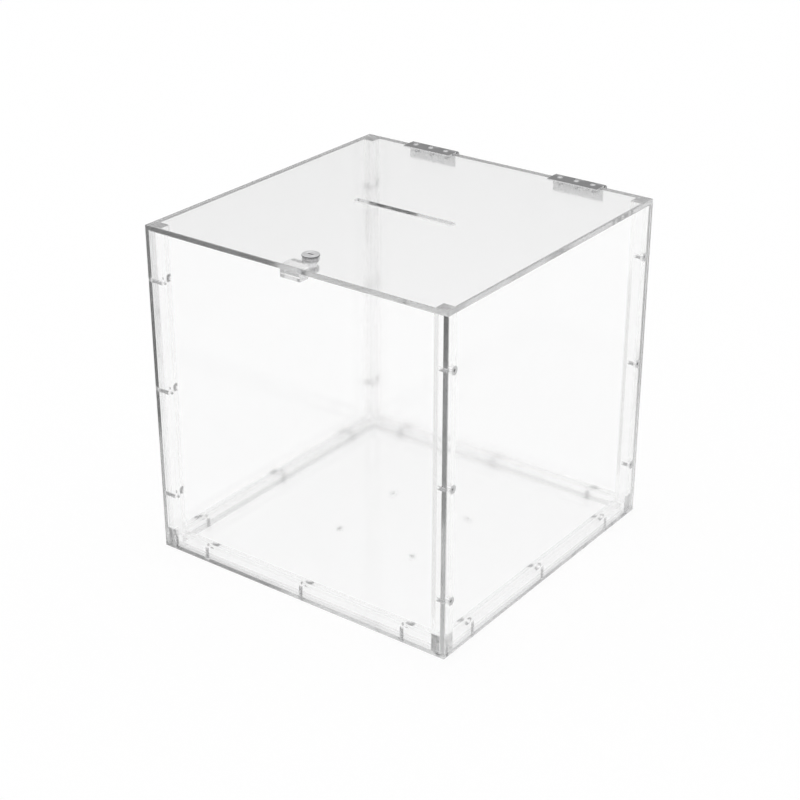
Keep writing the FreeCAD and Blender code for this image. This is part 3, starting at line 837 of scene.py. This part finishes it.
def card_mask(tree, card):
    """A mask that is 1 on a patch of the floor: per axis its middle, half width, and where it has faded."""
    place = add_node(tree, "ShaderNodeTexCoord")
    parts = add_node(tree, "ShaderNodeSeparateXYZ")
    tree.links.new(place.outputs["Object"], parts.inputs["Vector"])
    both = add_node(tree, "ShaderNodeMath", operation="MULTIPLY")
    for count, axis in enumerate("XY"):
        middle, inner, outer = card[axis]
        shifted = add_node(tree, "ShaderNodeMath", operation="SUBTRACT")
        shifted.inputs[1].default_value = middle
        away = add_node(tree, "ShaderNodeMath", operation="ABSOLUTE")
        fade = add_node(tree, "ShaderNodeMapRange", interpolation_type="SMOOTHSTEP", To_Min=1.0, To_Max=0.0)
        fade.inputs["From Min"].default_value = inner
        fade.inputs["From Max"].default_value = outer
        tree.links.new(parts.outputs[axis], shifted.inputs[0])
        tree.links.new(shifted.outputs["Value"], away.inputs[0])
        tree.links.new(away.outputs["Value"], fade.inputs["Value"])
        tree.links.new(fade.outputs["Result"], both.inputs[count])
    return both.outputs["Value"]


print("cards:", len((BACK_CARD, FAR_CARD, RIGHT_CARD, FRONT_CARD)))

# %% [markdown]
# ## Mixing tones
# A card shows where two masks meet: the patch of floor and the kind of ray. Two small helpers multiply masks
# and mix tones by them, so the floor below reads as a list of cards.

# %% Helpers for masks and tones


def blend_tone(tree, mask, first, second):
    """Mix two tones by a mask. A tone is a grey level or the output of an earlier blend."""
    mix = add_node(tree, "ShaderNodeMix", data_type="RGBA")
    tree.links.new(mask, mix.inputs["Factor"])
    for socket, tone in ((mix.inputs["A"], first), (mix.inputs["B"], second)):
        if isinstance(tone, float):
            socket.default_value = (tone, tone, tone, 1.0)
        else:
            tree.links.new(tone, socket)
    return mix.outputs["Result"]


def both_masks(tree, first, second):
    """A mask that is 1 only where both masks are."""
    product = add_node(tree, "ShaderNodeMath", operation="MULTIPLY")
    tree.links.new(first, product.inputs[0])
    tree.links.new(second, product.inputs[1])
    return product.outputs["Value"]


print("tone helpers:", blend_tone.__name__, both_masks.__name__)

# %% [markdown]
# ## Floor
# The floor is a wide flat white plane with the box's soft shadow on it. The camera, the plastic and the metal
# all see it white, apart from the four cards.

# %% Floor
FLOOR_REACH = 6.0
FLOOR_WHITE = 0.98
TURNED_AFTER = 6.5
CARD_GREY = 0.78
CARD_DARK = 0.02


def floor_tone(tree):
    """The floor's tone for each kind of ray."""
    ray = add_node(tree, "ShaderNodeLightPath")
    mirrored = add_node(tree, "ShaderNodeMath", operation="SUBTRACT", use_clamp=True)
    tree.links.new(ray.outputs["Is Glossy Ray"], mirrored.inputs[0])
    tree.links.new(ray.outputs["Is Transmission Ray"], mirrored.inputs[1])
    in_metal = both_masks(tree, mirrored.outputs["Value"], card_mask(tree, FRONT_CARD))
    tone = blend_tone(tree, in_metal, FLOOR_WHITE, CARD_DARK)
    turned_round = both_masks(tree, deeper_than(tree, ray, TURNED_AFTER), card_mask(tree, RIGHT_CARD))
    tone = blend_tone(tree, turned_round, tone, CARD_GREY)
    for card in (BACK_CARD, FAR_CARD):
        in_edges = both_masks(tree, deeper_than(tree, ray, DEEP_AFTER), card_mask(tree, card))
        tone = blend_tone(tree, in_edges, tone, CARD_DARK)
    return tone


def make_floor():
    """A wide white floor."""
    mesh = bmesh.new()
    bmesh.ops.create_grid(mesh, x_segments=1, y_segments=1, size=FLOOR_REACH)
    data = bpy.data.meshes.new("floor")
    mesh.to_mesh(data)
    mesh.free()
    floor = bpy.data.objects.new("floor", data)
    material, tree, output = new_material("floor_white")
    paint = add_node(tree, "ShaderNodeBsdfDiffuse")
    tree.links.new(floor_tone(tree), paint.inputs["Color"])
    tree.links.new(paint.outputs["BSDF"], output.inputs["Surface"])
    data.materials.append(material)
    scene.collection.objects.link(floor)
    return floor


print("floor reach in m:", make_floor().dimensions.x / 2)

# %% [markdown]
# ## Levels of light
# Light in a studio changes softly with direction. A Map Range node with a soft step does that, and the larger
# of two levels wins where they meet.

# %% Helpers for levels


def soft_step(tree, value, limits):
    """A soft step from one level to another as a value goes from one limit to the next."""
    step = add_node(tree, "ShaderNodeMapRange", interpolation_type="SMOOTHSTEP")
    for name, level in limits.items():
        step.inputs[name].default_value = level
    tree.links.new(value, step.inputs["Value"])
    return step.outputs["Result"]


def larger(tree, first, second):
    """The larger of two values."""
    most = add_node(tree, "ShaderNodeMath", operation="MAXIMUM")
    tree.links.new(first, most.inputs[0])
    tree.links.new(second, most.inputs[1])
    return most.outputs["Value"]


print("level helpers:", soft_step.__name__, larger.__name__)

# %% [markdown]
# ## Studio light
# The light is a soft dome with no lamps: bright overhead and greyer near the horizon. A white backdrop stands
# round it at the horizon, which the camera sees, and so do the metal and the plastic. Deep rays see a white
# wall at the left and a dark one at the right, which gives the lid's front edge its change of tone.

# %% World
DOME = {"From Min": 0.3, "From Max": 0.85, "To Min": 0.6, "To Max": 1.24}
BACKDROP = {"From Min": 0.15, "From Max": 0.3, "To Min": 1.0, "To Max": 0.0}
DEEP_WALLS = {"From Min": -0.3, "From Max": 0.3, "To Min": 1.0, "To Max": 0.04}


def make_world():
    """A soft studio with a white backdrop, and two walls that only deep rays see."""
    world = bpy.data.worlds.new("studio")
    world.use_nodes = True
    tree = world.node_tree
    tree.nodes.clear()
    place = add_node(tree, "ShaderNodeTexCoord")
    parts = add_node(tree, "ShaderNodeSeparateXYZ")
    tree.links.new(place.outputs["Generated"], parts.inputs["Vector"])
    ray = add_node(tree, "ShaderNodeLightPath")
    looking = larger(tree, ray.outputs["Is Glossy Ray"], ray.outputs["Is Transmission Ray"])
    looking = larger(tree, looking, ray.outputs["Is Camera Ray"])
    backdrop = both_masks(tree, looking, soft_step(tree, parts.outputs["Z"], BACKDROP))
    level = larger(tree, soft_step(tree, parts.outputs["Z"], DOME), backdrop)
    seen = add_node(tree, "ShaderNodeMix")
    tree.links.new(deeper_than(tree, ray, DEEP_AFTER), seen.inputs["Factor"])
    tree.links.new(level, seen.inputs["A"])
    tree.links.new(soft_step(tree, parts.outputs["X"], DEEP_WALLS), seen.inputs["B"])
    sky = add_node(tree, "ShaderNodeBackground", Color=(1.0, 1.0, 1.0, 1.0))
    tree.links.new(seen.outputs["Result"], sky.inputs["Strength"])
    output = add_node(tree, "ShaderNodeOutputWorld")
    tree.links.new(sky.outputs["Background"], output.inputs["Surface"])
    scene.world = world


make_world()
print("dome from", DOME["To Min"], "to", DOME["To Max"])

# %% [markdown]
# ## Colours and bounces
# The Standard view shows colours as they are written. Light zigzags along a sheet and leaves at its far edge
# after dozens of reflections, so the renderer is told to follow it that far. Otherwise the edges turn black.

# %% View and bounces
MOST_BOUNCES = 96

scene.view_settings.view_transform = "Standard"
scene.cycles.max_bounces = MOST_BOUNCES
scene.cycles.transmission_bounces = MOST_BOUNCES
scene.cycles.glossy_bounces = MOST_BOUNCES
scene.cycles.transparent_max_bounces = MOST_BOUNCES
print("most bounces:", scene.cycles.max_bounces)
